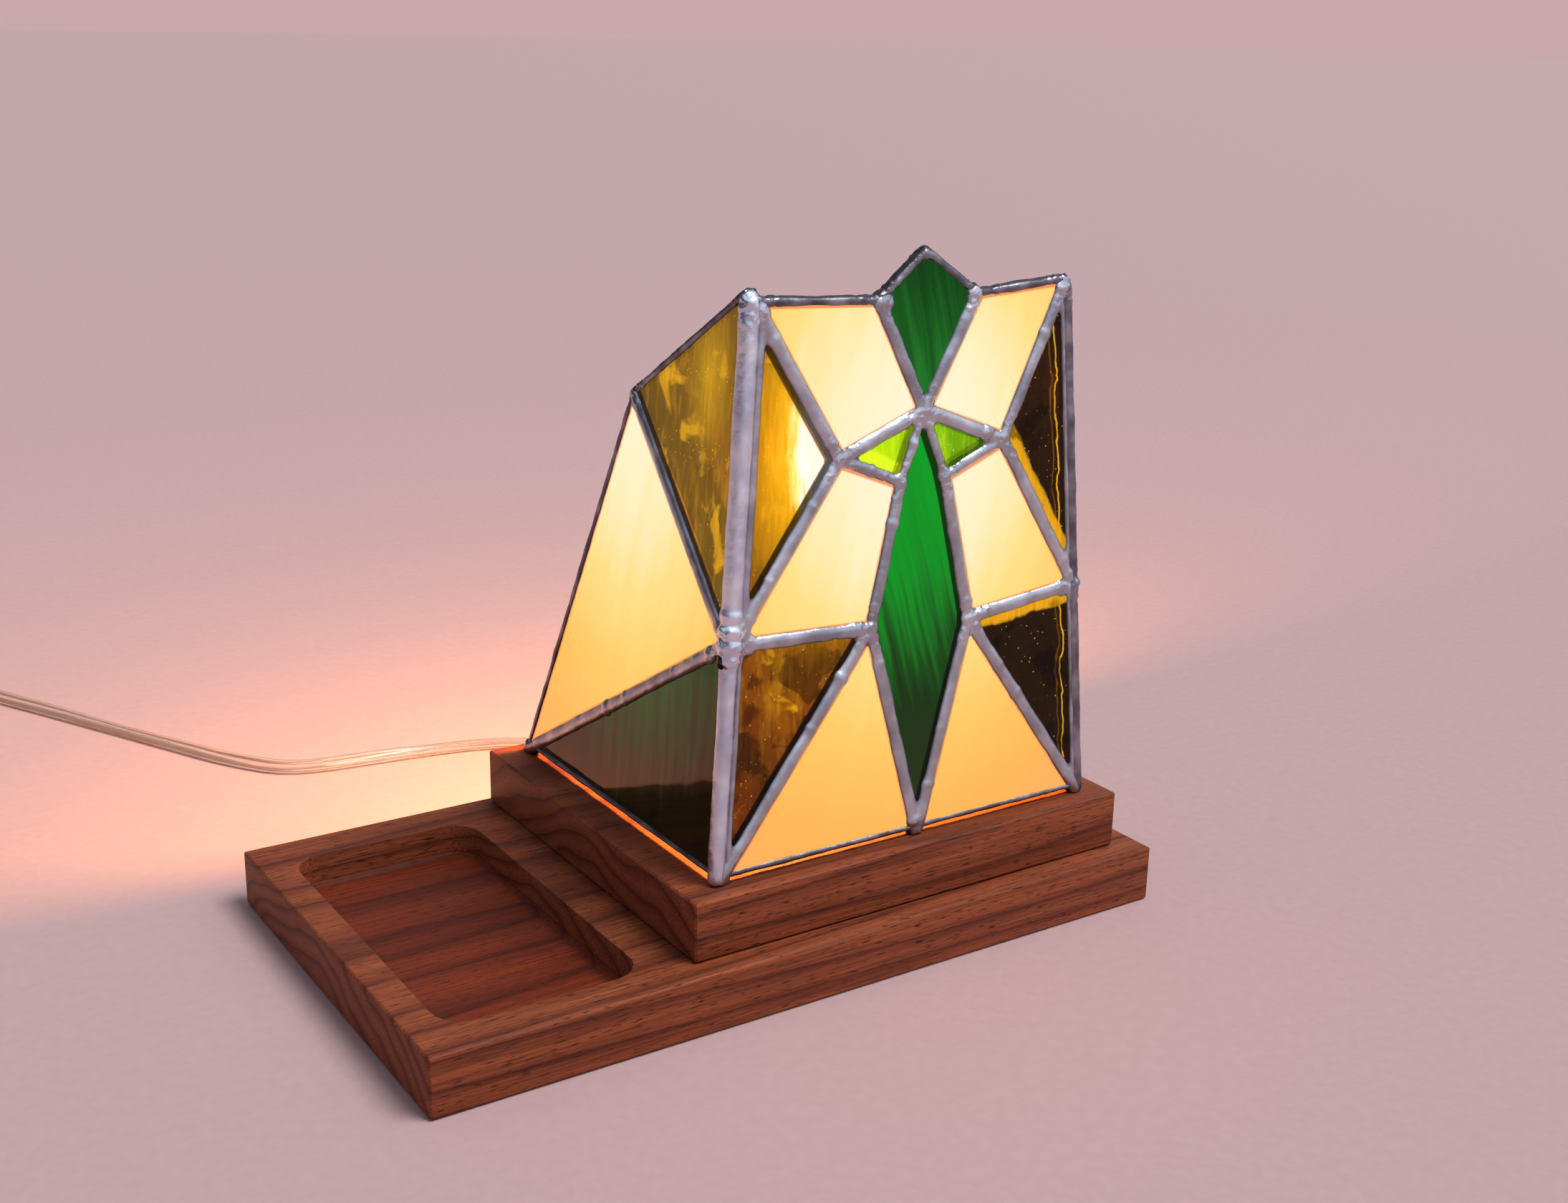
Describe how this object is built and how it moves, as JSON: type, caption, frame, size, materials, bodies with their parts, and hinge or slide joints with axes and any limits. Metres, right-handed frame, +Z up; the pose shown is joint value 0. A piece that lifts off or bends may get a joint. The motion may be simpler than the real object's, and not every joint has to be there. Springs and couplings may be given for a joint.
{
  "type": "stained glass table lamp",
  "caption": "Table lamp with an open-backed leaded glass shade resting on a stepped walnut base, a bulb in a turn-key lampholder, a routed tray beside the shade and a clear flat cord.",
  "frame": {"origin": "middle of the lower board's underside, on the surface that the lamp stands on", "axes": "+X along the boards from the tray to the lamp, +Y from the front panel to the open back, +Z up"},
  "size_m": [0.3932, 0.4382, 0.2218],
  "materials": {
    "walnut": "oiled, satin",
    "green_glass": "streaky, polished",
    "cream_glass": "opalescent, polished",
    "amber_glass": "seedy, polished",
    "lime_glass": "polished",
    "dark_green_glass": "streaky, polished",
    "solder": "tinned beads with a dull sheen",
    "brass": "lacquered",
    "plated_steel": "zinc plated",
    "phenolic": "moulded, matte",
    "fibre_board": "pressed fibre",
    "frosted_glass": "inside frosted",
    "clear_glass": "clear",
    "tungsten": "drawn wire",
    "aluminium": "rolled",
    "clear_pvc": "clear over copper strands",
    "black_rubber": "moulded, matte"
  },
  "bodies": {
    "base": {"base_board": "walnut", "plinth": "walnut", "base_screw_left": "plated_steel", "base_screw_right": "plated_steel", "seat_washer": "brass", "lamp_nipple": "plated_steel", "nipple_nut": "brass", "socket_cap": "brass", "socket_shell": "brass", "socket_liner": "fibre_board", "switch_block": "phenolic", "screw_shell": "brass", "centre_contact": "brass", "terminal_screw_left": "brass", "terminal_screw_right": "brass", "core_wire_left": "brass", "core_wire_right": "brass", "supply_lead": "clear_pvc", "cord_grommet": "black_rubber", "cord_run": "clear_pvc", "cord_coil": "clear_pvc", "cord_tail": "clear_pvc", "cord_tie": "black_rubber", "plug_body": "clear_pvc", "plug_blade_left": "brass", "plug_blade_right": "brass"},
    "shade": {"green_crown_glass": "green_glass", "green_leaf_glass": "green_glass", "cream_top_left_glass": "cream_glass", "cream_top_right_glass": "cream_glass", "cream_middle_left_glass": "cream_glass", "cream_middle_right_glass": "cream_glass", "cream_lower_left_glass": "cream_glass", "cream_lower_right_glass": "cream_glass", "amber_upper_left_glass": "amber_glass", "amber_upper_right_glass": "amber_glass", "amber_lower_left_glass": "amber_glass", "amber_lower_right_glass": "amber_glass", "lime_left_glass": "lime_glass", "lime_right_glass": "lime_glass", "left_side_amber_glass": "amber_glass", "left_side_cream_glass": "cream_glass", "left_side_green_glass": "dark_green_glass", "right_side_amber_glass": "amber_glass", "right_side_cream_glass": "cream_glass", "right_side_green_glass": "dark_green_glass", "front_solder": "solder", "left_side_solder": "solder", "right_side_solder": "solder", "left_corner_seam": "solder", "right_corner_seam": "solder"},
    "bulb": {"bulb_globe": "frosted_glass", "bulb_stem": "clear_glass", "bulb_filament": "tungsten", "bulb_cap": "aluminium", "bulb_insulator": "phenolic", "bulb_tip": "solder"},
    "key": {"switch_key": "brass"}
  },
  "joints": [
    {"name": "shade_lift", "type": "slide", "parent": "base", "child": "shade", "axis": [0, 0, 1], "range_m": [0, 0.14]},
    {"name": "bulb_out", "type": "slide", "parent": "base", "child": "bulb", "axis": [0, 0, 1], "range_m": [0, 0.03]},
    {"name": "key_turn", "type": "hinge", "parent": "base", "child": "key", "pos_m": [0.03845, 0.0245, 0.0598], "axis": [0, 1, 0], "continuous": true}
  ]
}
